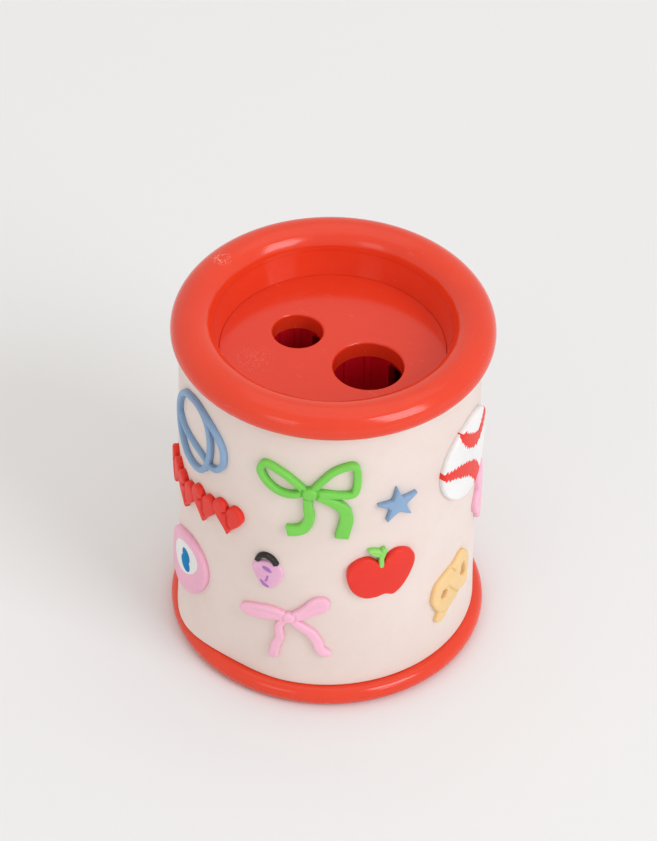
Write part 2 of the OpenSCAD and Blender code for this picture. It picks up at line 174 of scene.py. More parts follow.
world = bpy.data.worlds.new("studio")
world.use_nodes = True
world.node_tree.nodes["Background"].inputs["Color"].default_value = (1.0, 0.968, 0.937, 1)
world.node_tree.nodes["Background"].inputs["Strength"].default_value = 0.79
bpy.context.scene.world = world
soft_lamp("key", 50, 36, 1.3, (0.6, 0.75), 6.7, (0.88, 0.93, 1.0))
soft_lamp("fill", -32, 24, 1.5, (0.5, 0.5), 1.0)
soft_lamp("overhead", 150, 84, 1.6, (1.5, 1.5), 2.8, (0.85, 0.95, 1.0))
bpy.context.scene.view_settings.view_transform = "Standard"

# %% [markdown]
# ## Shared effects
# Four effects turn up in more than one finish, so each is a node group with named sockets:
# a slow drift of colour, the fine skin that a mould leaves, dust and scuffs, and a painted
# highlight, a patch of pale specks at one place. A group hands out colours, masks and heights
# only. The shader and its fixed numbers stay in each material, where they can be read and exported.

# %% A helper that makes a group with named sockets
SOCKETS = {"value": "NodeSocketFloat", "colour": "NodeSocketColor", "vector": "NodeSocketVector"}


def new_group(name, inputs, outputs):
    tree = bpy.data.node_groups.new(name, "ShaderNodeTree")
    for label, kind, value in inputs:
        socket = tree.interface.new_socket(label, in_out="INPUT", socket_type=SOCKETS[kind])
        socket.default_value = value
    for label, kind in outputs:
        tree.interface.new_socket(label, in_out="OUTPUT", socket_type=SOCKETS[kind])
    return tree, node(tree, "NodeGroupInput"), node(tree, "NodeGroupOutput")


def math_node(tree, operation, a, b=None, clamp=False):
    made = node(tree, "ShaderNodeMath", operation=operation, use_clamp=clamp)
    for socket, value in zip(made.inputs, (a, b)):
        if value is None:
            continue
        if isinstance(value, (int, float)):
            socket.default_value = value
        else:
            tree.links.new(value, socket)
    return made.outputs[0]


def noise_value(tree, scale, detail=2.0, vector=None):
    made = node(tree, "ShaderNodeTexNoise")
    if isinstance(scale, (int, float)):
        made.inputs["Scale"].default_value = scale
    else:
        tree.links.new(scale, made.inputs["Scale"])
    made.inputs["Detail"].default_value = detail
    if vector is None:
        vector = node(tree, "ShaderNodeTexCoord").outputs["Object"]
    tree.links.new(vector, made.inputs["Vector"])
    return made.outputs["Fac"]


def range_of(tree, value, low, high, to_low=0.0, to_high=1.0):
    made = node(tree, "ShaderNodeMapRange")
    tree.links.new(value, made.inputs["Value"])
    for label, number in (("From Min", low), ("From Max", high), ("To Min", to_low),
                          ("To Max", to_high)):
        if isinstance(number, (int, float)):
            made.inputs[label].default_value = number
        else:
            tree.links.new(number, made.inputs[label])
    return made.outputs["Result"]


# %% [markdown]
# ### Colour drift
# No moulded piece is one flat colour: pigment swirls, and thin places look lighter. The group
# mixes two close colours with a slow noise and a finer one on top.

# %% Build the colour drift group
drift, drift_in, drift_out = new_group(
    "colour_drift",
    [("Colour", "colour", (0.8, 0.8, 0.8, 1)), ("Second Colour", "colour", (0.7, 0.7, 0.7, 1)),
     ("Amount", "value", 0.5), ("Scale", "value", 60.0)],
    [("Colour", "colour")])
slow = noise_value(drift, drift_in.outputs["Scale"])
fine = noise_value(drift, math_node(drift, "MULTIPLY", drift_in.outputs["Scale"], 9.0), 4.0)
blend_in = math_node(drift, "ADD", math_node(drift, "MULTIPLY", slow, 0.75),
                     math_node(drift, "MULTIPLY", fine, 0.25))
share = math_node(drift, "MULTIPLY", range_of(drift, blend_in, 0.35, 0.65),
                  drift_in.outputs["Amount"], clamp=True)
mix = node(drift, "ShaderNodeMix", data_type="RGBA")
drift.links.new(share, mix.inputs["Factor"])
drift.links.new(drift_in.outputs["Colour"], mix.inputs["A"])
drift.links.new(drift_in.outputs["Second Colour"], mix.inputs["B"])
drift.links.new(mix.outputs["Result"], drift_out.inputs["Colour"])
print("group:", drift.name)

# %% [markdown]
# ### Moulded skin
# The mould's own surface prints onto the plastic: a very shallow waviness over a few
# millimetres, and a fine grain. Both go out as one height for a Bump node, and the same noise
# makes the roughness uneven, which breaks up a reflection that would look too clean.

# %% Build the moulded skin group
skin, skin_in, skin_out = new_group(
    "moulded_skin",
    [("Wave Scale", "value", 90.0), ("Wave", "value", 0.5), ("Grain Scale", "value", 2500.0),
     ("Grain", "value", 0.2), ("Roughness", "value", 0.2), ("Roughness Spread", "value", 0.05)],
    [("Height", "value"), ("Roughness", "value")])
wave = noise_value(skin, skin_in.outputs["Wave Scale"], 1.0)
grain = noise_value(skin, skin_in.outputs["Grain Scale"], 3.0)
height = math_node(skin, "ADD", math_node(skin, "MULTIPLY", wave, skin_in.outputs["Wave"]),
                   math_node(skin, "MULTIPLY", grain, skin_in.outputs["Grain"]))
skin.links.new(height, skin_out.inputs["Height"])
uneven = math_node(skin, "SUBTRACT", noise_value(skin, 220.0, 5.0), 0.5)
rough = math_node(skin, "ADD", skin_in.outputs["Roughness"],
                  math_node(skin, "MULTIPLY", uneven, skin_in.outputs["Roughness Spread"]))
skin.links.new(rough, skin_out.inputs["Roughness"])
print("group:", skin.name)

# %% [markdown]
# ### Dust and scuffs
# Fine hairline scuffs come from a noise that is stretched until it draws streaks, and dust
# comes from a fine noise cut off high, so that only its peaks are left as specks.

# %% Build the dust and scuff group
wear, wear_in, wear_out = new_group(
    "dust_and_scuffs",
    [("Dust", "value", 0.3), ("Scuffs", "value", 0.3), ("Scale", "value", 300.0)],
    [("Mask", "value")])
coords = node(wear, "ShaderNodeTexCoord").outputs["Object"]
streak_map = node(wear, "ShaderNodeMapping")
streak_map.inputs["Rotation"].default_value = (0.3, 0.2, 0.9)
streak_map.inputs["Scale"].default_value = (1.0, 14.0, 3.0)
wear.links.new(coords, streak_map.inputs["Vector"])
streaks = range_of(wear, noise_value(wear, wear_in.outputs["Scale"], 2.0,
                                     streak_map.outputs["Vector"]), 0.70, 0.76)
specks = range_of(wear, noise_value(wear, math_node(wear, "MULTIPLY", wear_in.outputs["Scale"],
                                                    6.0), 2.0), 0.74, 0.78)
mask = math_node(wear, "MAXIMUM",
                 math_node(wear, "MULTIPLY", streaks, wear_in.outputs["Scuffs"]),
                 math_node(wear, "MULTIPLY", specks, wear_in.outputs["Dust"]), clamp=True)
wear.links.new(mask, wear_out.inputs["Mask"])
print("group:", wear.name)

# %% [markdown]
# ### A painted highlight
# A small cluster of pale specks at one place is painted light: it stands in for a highlight on
# the gloss. The mask is full at a chosen point and fades to nothing a radius away, times a fine
# speckle.

# %% Build the painted highlight group
# Painted highlight: a pale speckled mask that stands in for a glint of light on the gloss.
highlight_group, highlight_in, highlight_out = new_group(
    "painted_highlight_patch",
    [("Centre", "vector", (0, 0, 0)), ("Radius", "value", 0.002), ("Strength", "value", 1.0)],
    [("Mask", "value")])
coords = node(highlight_group, "ShaderNodeTexCoord").outputs["Object"]
gap = node(highlight_group, "ShaderNodeVectorMath", operation="DISTANCE")
highlight_group.links.new(coords, gap.inputs[0])
highlight_group.links.new(highlight_in.outputs["Centre"], gap.inputs[1])
near = math_node(highlight_group, "SUBTRACT", 1.0, math_node(highlight_group, "DIVIDE", gap.outputs["Value"],
                                                 highlight_in.outputs["Radius"]), clamp=True)
speckle = range_of(highlight_group, noise_value(highlight_group, 3200.0, 2.0), 0.52, 0.62)
patch = math_node(highlight_group, "MULTIPLY", math_node(highlight_group, "MULTIPLY", near, speckle),
                  highlight_in.outputs["Strength"], clamp=True)
highlight_group.links.new(patch, highlight_out.inputs["Mask"])
print("group:", highlight_group.name)

# %% [markdown]
# ## Finishes
# Every finish is one Principled shader. Colour and roughness come from the groups above, and a
# Bump node turns the skin's height into tiny tilts of the surface. Numbers that are the same
# all over, such as the coat or the sheen, are set on the shader itself.

# %% A helper that puts the groups together
def place_group(tree, group, **values):
    made = node(tree, "ShaderNodeGroup")
    made.node_tree = group
    for label, value in values.items():
        made.inputs[label.replace("_", " ")].default_value = value
    return made


def lay_over(tree, below, colour, mask):
    """Mixes a plain colour over another one, where the mask is above nothing."""
    over = node(tree, "ShaderNodeMix", data_type="RGBA")
    over.inputs["B"].default_value = colour
    tree.links.new(mask, over.inputs["Factor"])
    tree.links.new(below, over.inputs["A"])
    return over.outputs["Result"]


def shade(r, g, b):
    """A colour given as it looks on a screen, 0 to 255, as the shader wants it."""
    linear = [(c / 255 / 12.92) if c <= 10 else ((c / 255 + 0.055) / 1.055) ** 2.4
              for c in (r, g, b)]
    return (*linear, 1.0)


def moulded(name, colour, second, roughness, wave=0.5, grain=0.2, bump=0.00002, drift_scale=70.0,
            drift_amount=0.8, spread=0.06, dust=0.0, scuffs=0.0, dust_colour=(0.8, 0.75, 0.7, 1)):
    """A moulded finish: drifting colour, fine skin, and dust or scuffs where asked for."""
    mat = bpy.data.materials.new(name)
    mat.use_nodes = True
    tree = mat.node_tree
    shader = tree.nodes["Principled BSDF"]
    tint = place_group(tree, drift, Colour=colour, Second_Colour=second, Amount=drift_amount,
                       Scale=drift_scale)
    surface = place_group(tree, skin, Wave=wave, Grain=grain, Roughness=roughness,
                          Roughness_Spread=spread)
    bumps = node(tree, "ShaderNodeBump")
    bumps.inputs["Distance"].default_value = bump
    bumps.inputs["Strength"].default_value = 1.0
    tree.links.new(surface.outputs["Height"], bumps.inputs["Height"])
    tree.links.new(bumps.outputs["Normal"], shader.inputs["Normal"])
    colour_out, rough_out = tint.outputs["Colour"], surface.outputs["Roughness"]
    if dust or scuffs:
        marks = place_group(tree, wear, Dust=dust, Scuffs=scuffs)
        colour_out = lay_over(tree, colour_out, dust_colour, marks.outputs["Mask"])
        rough_out = math_node(tree, "ADD", rough_out,
                              math_node(tree, "MULTIPLY", marks.outputs["Mask"], 0.3), clamp=True)
    tree.links.new(colour_out, shader.inputs["Base Color"])
    tree.links.new(rough_out, shader.inputs["Roughness"])
    return mat, shader


def dress(cad_node, mat):
    """Gives a CAD node its finish."""
    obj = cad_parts[cad_node]
    obj.data.materials.clear()
    obj.data.materials.append(mat)


# %% [markdown]
# ### Glossy red plastic
# The cup, the rim and the plate are one glossy plastic. It comes from a polished mould, so the
# skin is very shallow and the lamps are mirrored as long soft streaks. A little light passes
# under the surface, as it does in thin red plastic. The rim and the plate each get a patch of
# pale specks, at places taken from the frame: a painted highlight on the rim, and faint painted
# light on the plate's floor. The plate's red is a shade darker, which is painted shade for the
# floor of the recess, and the plate is more scuffed, because pencils knock against it.

# %% Make the red plastic
RED = (0.80, 0.049, 0.012, 1)
RED_DEEP = (0.74, 0.038, 0.010, 1)
# Painted shade: the plate is the floor of the recess, so its red is set darker than the rim's and
# the cup's.
SHADED_PLATE_RED = (0.75, 0.043, 0.014, 1)
# The pale peach of the painted highlight specks.
HIGHLIGHT_PEACH = (0.95, 0.62, 0.55, 1)


def red_plastic(name, patches=(), scuffs=0.12, dust=0.2, colour=RED):
    mat, shader = moulded(name, colour, RED_DEEP, 0.15, wave=0.6, grain=0.02, bump=0.000012,
                          drift_scale=45.0, spread=0.08, dust=dust, scuffs=scuffs,
                          dust_colour=(0.9, 0.25, 0.18, 1))
    shader.inputs["Specular IOR Level"].default_value = 0.5
    shader.inputs["Subsurface Weight"].default_value = 0.08
    shader.inputs["Subsurface Radius"].default_value = (0.0012, 0.0003, 0.0002)
    tree = mat.node_tree
    # Each entry paints highlight specks over the red.
    for centre, radius, strength in patches:
        glint = place_group(tree, highlight_group, Centre=centre, Radius=radius, Strength=strength)
        below = shader.inputs["Base Color"].links[0].from_socket
        tree.links.new(lay_over(tree, below, HIGHLIGHT_PEACH, glint.outputs["Mask"]),
                       shader.inputs["Base Color"])
    return mat


def on_circle(radius, turn_from_view, z):
    """A point round the axis: the turn is counted from the side that faces the camera."""
    turn = view_turn + math.radians(turn_from_view)
    return (radius * MM * math.sin(turn), -radius * MM * math.cos(turn), z * MM)


plate_top = node_box("sharpener_plate")[1][2]
# Painted light: a speckled highlight on the far left of the rim's top, and a faint pale patch on
# the plate's floor.
rim_highlight = (on_circle(22.4, -125.0, total_height - 0.3), 0.0019, 0.7)
floor_highlight = (on_circle(13.0, -75.0, plate_top), 0.0045, 0.1)
dress("waste_cup", red_plastic("red_plastic_cup"))
dress("rim_collar", red_plastic("red_plastic_rim", [rim_highlight]))
dress("sharpener_plate",
      red_plastic("red_plastic_plate", [floor_highlight], scuffs=0.3, colour=SHADED_PLATE_RED))
print("red plastic on", ["waste_cup", "rim_collar", "sharpener_plate"])

# %% [markdown]
# ### Crimson sharpener block
# The block under the plate is a crimson plastic with a clear-looking gloss, which a thin coat
# gives. Deep in the holes it reads as a dark red, with upright bands where the guide ribs catch
# the light.

# %% Make the crimson plastic
core_mat, core_shader = moulded("crimson_plastic", (0.62, 0.006, 0.018, 1), (0.46, 0.003, 0.012, 1),
                                0.16, wave=0.5, grain=0.05, dust=0.3, scuffs=0.2,
                                dust_colour=(0.5, 0.2, 0.16, 1))
core_shader.inputs["Coat Weight"].default_value = 0.4
core_shader.inputs["Coat Roughness"].default_value = 0.08
dress("sharpener_core", core_mat)
print("crimson plastic on sharpener_core")

# %% [markdown]
# ### Steel
# Blades are ground along their length, which leaves fine parallel lines that smear highlights.
# A noise stretched thirty times along the blade gives the lines, and the same lines vary the
# roughness. The screws are plated, so they only get a soft mottle.

# %% Make blade steel and screw steel
def steel(name, colour, roughness, line_scale, stretch):
    mat = bpy.data.materials.new(name)
    mat.use_nodes = True
    tree = mat.node_tree
    shader = tree.nodes["Principled BSDF"]
    shader.inputs["Metallic"].default_value = 1.0
    lines_map = node(tree, "ShaderNodeMapping")
    lines_map.inputs["Scale"].default_value = stretch
    tree.links.new(node(tree, "ShaderNodeTexCoord").outputs["Object"], lines_map.inputs["Vector"])
    lines = noise_value(tree, line_scale, 3.0, lines_map.outputs["Vector"])
    tint = place_group(tree, drift, Colour=colour, Amount=0.7, Scale=240.0,
                       Second_Colour=tuple(0.8 * c for c in colour[:3]) + (1,))
    marks = place_group(tree, wear, Dust=0.25, Scuffs=0.5)
    rough = range_of(tree, lines, 0.3, 0.7, roughness * 0.7, roughness * 1.4)
    tree.links.new(math_node(tree, "ADD", rough, math_node(tree, "MULTIPLY",
                   marks.outputs["Mask"], 0.25), clamp=True), shader.inputs["Roughness"])
    tree.links.new(tint.outputs["Colour"], shader.inputs["Base Color"])
    bumps = node(tree, "ShaderNodeBump")
    bumps.inputs["Distance"].default_value = 0.000004
    tree.links.new(lines, bumps.inputs["Height"])
    tree.links.new(bumps.outputs["Normal"], shader.inputs["Normal"])
    return mat


blade_steel = steel("blade_steel", (0.62, 0.63, 0.65, 1), 0.28, 900.0, (1.0, 1.0, 0.03))
screw_steel = steel("screw_steel", (0.55, 0.55, 0.54, 1), 0.34, 700.0, (1.0, 1.0, 1.0))
for blade in ("small_blade", "large_blade"):
    dress(blade, blade_steel)
for screws in ("blade_screws", "core_screws"):
    dress(screws, screw_steel)
print("steel on blades and screws")

# %% [markdown]
# ## The silicone sleeve
# The sleeve is a soft tube pulled over the cup. It could be a plain cylinder, but a real one is
# never quite true: it sits a third of a millimetre off centre, its lower edge lifts off in one
# place and is pulled tight beside it. One function gives its radius at any angle and height.
# The sleeve and every charm use it, so they all bend together.

# %% How the sleeve's surface runs
off_centre = 0.35
off_turn = -90.0
camera_side = math.degrees(view_turn) - 90.0


def fades(angle, centre, width):
    away = (angle - centre + 180.0) % 360.0 - 180.0
    return np.exp(-(away / width) ** 2)


def sleeve_surface(angle, z):
    """Outer radius of the sleeve at an angle in degrees and a height, both in arrays."""
    above = np.maximum(z - sleeve_bottom, 0.0)
    below_top = np.maximum(sleeve_top - z, 0.0)
    shifted = sleeve_r + off_centre * np.cos(np.radians(angle - camera_side - off_turn))
    lifted = 1.15 * fades(angle, -121.0, 15.0) * np.exp(-(above / 5.0) ** 1.3)
    tight = -0.45 * fades(angle, -91.0, 14.0) * np.exp(-(above / 4.0) ** 1.3)
    loose = 0.25 * fades(angle, 40.0, 30.0) * np.exp(-above / 8.0)
    ripple = 0.06 * np.sin(np.radians(3 * angle + 40)) * np.cos(z / 9.0)
    upper = -0.12 * np.exp(-below_top / 1.5)
    return np.minimum(shifted + lifted + tight + loose + ripple + upper, sleeve_r + 1.5)


test_angles = np.array([-121.0, -91.0, 0.0, 90.0])
print("sleeve radius low down:", sleeve_surface(test_angles, np.full(4, 4.0)).round(2))

# %% [markdown]
# The tube itself is a lathe with a profile of four stretches: the outer wall, a rounded top
# edge, the inner wall and a rounded bottom edge. The inner wall never enters the cup.

# %% Build the sleeve
def link_mesh(name, verts, faces):
    mesh = bpy.data.meshes.new(name)
    mesh.from_pydata([tuple(v) for v in verts], [], [tuple(f) for f in faces])
    mesh.validate()
    mesh.polygons.foreach_set("use_smooth", [True] * len(mesh.polygons))
    obj = bpy.data.objects.new(name, mesh)
    bpy.context.scene.collection.objects.link(obj)
    return obj


def sleeve_profile(rows=46, edge=0.4, steps=5):
    """Rows of (height, share of the wall's thickness in from its outer face)."""
    lower = [(sleeve_bottom + edge * (1 - math.sin(math.pi / 2 * k / steps)),
              edge * (1 - math.cos(math.pi / 2 * k / steps))) for k in range(steps, -1, -1)]
    wall = [(sleeve_bottom + edge + (sleeve_top - sleeve_bottom - 2 * edge) * k / rows, 0.0)
            for k in range(1, rows)]
    upper = [(sleeve_top - z + sleeve_bottom, inset) for z, inset in reversed(lower)]
    return lower + wall + upper


def build_sleeve(turns=288):
    outer = sleeve_profile()
    angles = np.linspace(-180.0, 180.0, turns, endpoint=False)
    rings = []
    for z, inset in outer:
        radius = sleeve_surface(angles, np.full(turns, z)) - inset
        rings.append((radius, z))
    for z, _ in reversed(outer[::4]):
        radius = sleeve_surface(angles, np.full(turns, z))
        rings.append((np.maximum(radius - sleeve_t, cup_r + 0.02), z))
    verts = [(r * math.cos(math.radians(a)) * MM, r * math.sin(math.radians(a)) * MM, z * MM)
             for radius, z in rings for r, a in zip(radius, angles)]
    faces = []
    count = len(rings)
    for i in range(count):
        for j in range(turns):
            k = (j + 1) % turns
            n = (i + 1) % count
            faces.append((i * turns + j, i * turns + k, n * turns + k, n * turns + j))
    return link_mesh("sleeve_soft", verts, faces)


sleeve = build_sleeve()
sleeve_mat, sleeve_shader = moulded("cream_silicone", shade(233, 218, 211), shade(226, 209, 200),
                                    0.62, wave=1.0, grain=0.35, bump=0.00003, drift_scale=55.0,
                                    spread=0.12, dust=0.10, dust_colour=(0.55, 0.5, 0.45, 1))
sleeve_shader.inputs["Subsurface Weight"].default_value = 0.25
sleeve_shader.inputs["Subsurface Radius"].default_value = (0.0014, 0.0008, 0.0006)
sleeve_shader.inputs["Specular IOR Level"].default_value = 0.35
sleeve_shader.inputs["Sheen Weight"].default_value = 0.12
sleeve.data.materials.append(sleeve_mat)
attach(sleeve, "base")
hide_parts("silicone_sleeve")
print("sleeve:", len(sleeve.data.polygons), "faces")

# %% [markdown]
# ## How a charm is made
# The charms are cast flat in soft rubber, with rounded upper edges, and bend with the sleeve.
# Each is drawn flat in millimetres, x to the right and y up. It is made of strands, which are
# smooth lines with a width, and of patches, which are smooth closed outlines. For any point
# there is a depth, how far it lies inside the nearest edge, and the depth gives the height:
# a quarter circle rises from the edge and a nearly flat top follows. A triangle mesh is laid
# through rings of points that follow every edge, so the roundings are even, and is bent round
# the sleeve last. Sculpting or remeshing would lose the crisp creases where strands meet.

# %% Smooth lines and depths
def smooth_points(points, closed, steps):
    p = np.array(points, float)
    n = len(p)
    out = []
    for i in range(n if closed else n - 1):
        a, b, c, d = ((p[(i - 1) % n], p[i], p[(i + 1) % n], p[(i + 2) % n]) if closed else
                      (p[max(i - 1, 0)], p[i], p[i + 1], p[min(i + 2, n - 1)]))
        for t in np.arange(steps) / steps:
            out.append(0.5 * (2 * b + (c - a) * t + (2 * a - 5 * b + 4 * c - d) * t * t
                              + (3 * b - a - 3 * c + d) * t ** 3))
    if not closed:
        out.append(p[-1])
    return np.array(out)


def even_spacing(line, gap, closed):
    """The same line with points at an even gap."""
    ends = np.vstack([line, line[:1]]) if closed else line
    run = np.concatenate([[0], np.cumsum(np.linalg.norm(np.diff(ends, axis=0), axis=1))])
    count = max(int(round(run[-1] / gap)), 8)
    at = np.linspace(0, run[-1], count, endpoint=not closed)
    return np.stack([np.interp(at, run, ends[:, k]) for k in (0, 1)], axis=1)


def distance_to(points, line, closed):
    """Distance from each point to a line, and where along the line, from 0 to 1, it is nearest."""
    a = line if closed else line[:-1]
    b = np.roll(line, -1, axis=0) if closed else line[1:]
    best = np.full(len(points), 1e9)
    along = np.zeros(len(points))
    for k, (p, q) in enumerate(zip(a, b)):
        d = q - p
        t = np.clip(((points - p) @ d) / max(d @ d, 1e-12), 0, 1)
        away = np.linalg.norm(points - (p + t[:, None] * d), axis=1)
        nearer = away < best
        best[nearer] = away[nearer]
        along[nearer] = (k + t[nearer]) / len(a)
    return best, along


def is_inside(points, loop):
    x, y = points[:, 0], points[:, 1]
    inside = np.zeros(len(points), bool)
    for (x0, y0), (x1, y1) in zip(loop, np.roll(loop, -1, axis=0)):
        crosses = (y0 > y) != (y1 > y)
        if y1 != y0:
            inside ^= crosses & (x < (x1 - x0) * (y - y0) / (y1 - y0) + x0)
    return inside


# %% Strands and patches
EDGE_GAP = 0.16


def side_normals(line, closed):
    if closed:
        run = np.roll(line, -1, axis=0) - np.roll(line, 1, axis=0)
    else:
        run = np.gradient(line, axis=0)
    run /= np.maximum(np.linalg.norm(run, axis=1), 1e-9)[:, None]
    return np.stack([-run[:, 1], run[:, 0]], axis=1)


class Strand:
    """A line with a width, open with round ends or closed to a ring. widths may taper."""

    def __init__(self, points, width, closed=False, top=1.1, edge=0.32):
        self.closed, self.top, self.edge = closed, top, edge
        self.line = even_spacing(smooth_points(points, closed, 12), EDGE_GAP, closed)
        ends = np.atleast_1d(width).astype(float) / 2
        self.half = np.interp(np.linspace(0, 1, len(self.line)), np.linspace(0, 1, len(ends)), ends)

    def depth(self, points):
        away, along = distance_to(points, self.line, self.closed)
        return np.interp(along, np.linspace(0, 1, len(self.half)), self.half) - away

    def ring(self, inset):
        """Closed lines of points at this depth."""
        out = np.maximum(self.half - inset, 0.02)[:, None] * side_normals(self.line, self.closed)
        if self.closed:
            return [self.line + out, self.line - out]
        loops = np.vstack([self.line + out, self.cap(-1, inset), (self.line - out)[::-1],
                           self.cap(0, inset)])
        return [loops]

    def cap(self, end, inset):
        """A half circle of points round an end."""
        middle = self.line[end]
        n = side_normals(self.line, False)[end]
        r = max(self.half[end] - inset, 0.02)
        forward = np.array([n[1], -n[0]]) * (1 if end == -1 else -1)
        start = n if end == -1 else -n
        turns = np.radians([30, 60, 90, 120, 150])
        return np.array([middle + r * (math.cos(a) * start + math.sin(a) * forward)
                         for a in turns])


class Patch:
    """A filled smooth outline, with holes where they are given."""

    def __init__(self, outline, holes=(), top=1.1, edge=0.32, smooth=True, gap=EDGE_GAP):
        self.top, self.edge = top, edge
        self.loops = [self.loop(outline, smooth, gap)] + [self.loop(h, True, gap) for h in holes]

    @staticmethod
    def loop(outline, smooth, gap):
        line = smooth_points(outline, True, 10) if smooth else np.array(outline, float)
        line = even_spacing(line, gap, True)
        area = np.sum(line[:, 0] * np.roll(line[:, 1], -1) - np.roll(line[:, 0], -1) * line[:, 1])
        return line if area > 0 else line[::-1]

    def depth(self, points):
        depth = np.full(len(points), 1e9)
        for k, loop in enumerate(self.loops):
            away, _ = distance_to(points, loop, True)
            inside = is_inside(points, loop)
            depth = np.minimum(depth, np.where(inside if k == 0 else ~inside, away, -away))
        return depth

    def ring(self, inset):
        sides = [1] + [-1] * (len(self.loops) - 1)
        return [loop + inset * side * side_normals(loop, True)
                for loop, side in zip(self.loops, sides)]


def ribbon(points, widths, **options):
    """A patch along a line, with ends that are cut straight."""
    line = even_spacing(smooth_points(points, False, 12), EDGE_GAP, False)
    half = np.interp(np.linspace(0, 1, len(line)), np.linspace(0, 1, len(widths)), widths) / 2
    out = half[:, None] * side_normals(line, False)
    return Patch(np.vstack([line + out, (line - out)[::-1]]), smooth=False, **options)


# %% [markdown]
# The mesh of one charm: edges of all its parts are laid down as fixed lines, rings and a loose
# grid fill the inside, and a Delaunay triangulation joins them. Triangles that lie outside all
# parts are dropped. What is left is the top; the rim of it is carried down into the sleeve and
# closed underneath, so each charm is a solid piece.

# %% Build one charm
SINK = 0.25
CROWN, CROWN_REACH = 0.05, 0.8


def rise(depth, edge):
    """Height lost to the rounded edge: none further in than the edge's radius."""
    d = np.clip(depth, 0, edge)
    return edge - np.sqrt(np.maximum(edge ** 2 - (edge - d) ** 2, 0))


def charm_height(parts, grooves, points):
    """Height of the charm's top above the sleeve, at each point."""
    height = np.full(len(points), -9.0)
    for part in parts:
        depth = part.depth(points)
        crown = CROWN * (1 - np.exp(-np.maximum(depth, 0) / CROWN_REACH))
        top = part.top - rise(depth, part.edge) + crown
        height = np.where(depth > -1e-3, np.maximum(height, top), height)
    height = np.where(height < 0, parts[0].top - parts[0].edge, height)
    for line, width, deep in grooves:
        away, _ = distance_to(points, line, False)
        height -= deep * np.exp(-(away / width) ** 2)
    return height


def inner_points(parts, grooves, gap):
    """Points for the triangulation: a loose grid, rings inside each edge, lines by grooves."""
    low = np.min([r.min(0) for p in parts for r in p.ring(0)], axis=0)
    high = np.max([r.max(0) for p in parts for r in p.ring(0)], axis=0)
    xs = np.arange(low[0], high[0], gap)
    ys = np.arange(low[1], high[1], gap * 0.87)
    grid = np.array([(x + (gap / 2 if j % 2 else 0), y) for j, y in enumerate(ys) for x in xs])
    depth = np.max([p.depth(grid) - p.edge for p in parts], axis=0)
    found = [grid[depth > 0.12]]
    for part in parts:
        for share in (0.076, 0.293, 0.617, 1.0):  # equal turns round the quarter circle
            inset = share * part.edge
            for ring in part.ring(inset):
                true = np.abs(part.depth(ring) - inset) < 0.03
                found.append(ring[true])
    for line, width, _ in grooves:
        n = side_normals(line, False)
        for k in (-1.6, -0.8, 0, 0.8, 1.6):
            found.append(line + k * width * n)
    return np.vstack(found)


def triangulate(parts, grooves, gap):
    """Flat triangles that fill the parts."""
    fixed, edges = [], []
    for part in parts:
        for ring in part.ring(0):
            start = len(fixed)
            fixed.extend(ring)
            edges.extend((start + i, start + (i + 1) % len(ring)) for i in range(len(ring)))
    loose = inner_points(parts, grooves, gap)
    points = [Vector(p) for p in np.vstack([fixed, loose])]
    verts, _, faces, *_ = delaunay_2d_cdt(points, edges, [], 0, 1e-4, False)
    flat = np.array([v[:] for v in verts])
    faces = np.array(faces)
    middle = flat[faces].mean(axis=1)
    inside = np.max([p.depth(middle) for p in parts], axis=0) > 0.004
    return flat, faces[inside]


def bend_onto_sleeve(flat, height, at, wrap=False):
    """Moves flat points to the sleeve: at is an angle and a share of the sleeve's height.

    A small charm is pressed on straight, a long one is wrapped round."""
    across = flat[:, 0] / sleeve_r
    angle = at[0] + np.degrees(across if wrap else np.arcsin(np.clip(across, -0.95, 0.95)))
    z = sleeve_bottom + at[1] * sleeve_height + flat[:, 1]
    radius = sleeve_surface(angle, z) + height
    a = np.radians(angle)
    return np.stack([radius * np.cos(a), radius * np.sin(a), z], axis=1) * MM


def charm(name, parts, at, mat, replaces, grooves=(), gap=0.42, wrap=False,
          over=None):
    """Makes a charm from its parts and puts it on the sleeve; at may be a list of places.

    A colour cast over another charm gets that charm's parts, and adds its height to theirs."""
    verts, faces = [], []
    places = at if isinstance(at, list) else [at]
    for place in places:
        flat, top_faces = triangulate(parts, grooves, gap)
        height = charm_height(parts, grooves, flat)
        if over:
            height += charm_height(over, (), flat)
        used = np.unique(top_faces)
        renumber = np.full(len(flat), -1)
        renumber[used] = np.arange(len(used))
        top_faces = renumber[top_faces]
        flat, height = flat[used], height[used]
        start, count = len(verts), len(used)
        verts.extend(bend_onto_sleeve(flat, height, place, wrap))
        verts.extend(bend_onto_sleeve(flat, np.full(count, -SINK), place, wrap))
        sides = {}
        for tri in top_faces:
            for i in range(3):
                key = (tri[i], tri[(i + 1) % 3])
                sides[key] = sides.get(key, 0) + 1
        faces.extend(start + tri for tri in top_faces)
        faces.extend(start + count + tri[::-1] for tri in top_faces)
        for a, b in sides:
            if (b, a) not in sides:
                faces.append((start + b, start + a, start + count + a, start + count + b))
    obj = link_mesh(name, verts, faces)
    obj.data.materials.append(mat)
    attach(obj, "base")
    if replaces:
        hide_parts(*replaces)
    print(name, len(obj.data.polygons), "faces")
    return obj


# %% [markdown]
# ## Rubber colours
# All charms are the same soft rubber in different pigments: satin, with a little light passing
# through the thin edges. The recipe is one function, and each colour is one call of it.

# %% Make the rubbers
def rubber(name, colour, second=None, roughness=0.46, specular=0.42):
    if second is None:
        second = tuple(0.86 * c for c in colour[:3]) + (1,)
    mat, shader = moulded(name, colour, second, roughness, wave=0.8, grain=0.12, bump=0.00003,
                          drift_scale=120.0, drift_amount=0.7, spread=0.12, dust=0.12,
                          scuffs=0.06, dust_colour=(0.85, 0.83, 0.8, 1))
    shader.inputs["Subsurface Weight"].default_value = 0.15
    shader.inputs["Subsurface Radius"].default_value = (0.0006, 0.0005, 0.0004)
    shader.inputs["Specular IOR Level"].default_value = specular
    return mat


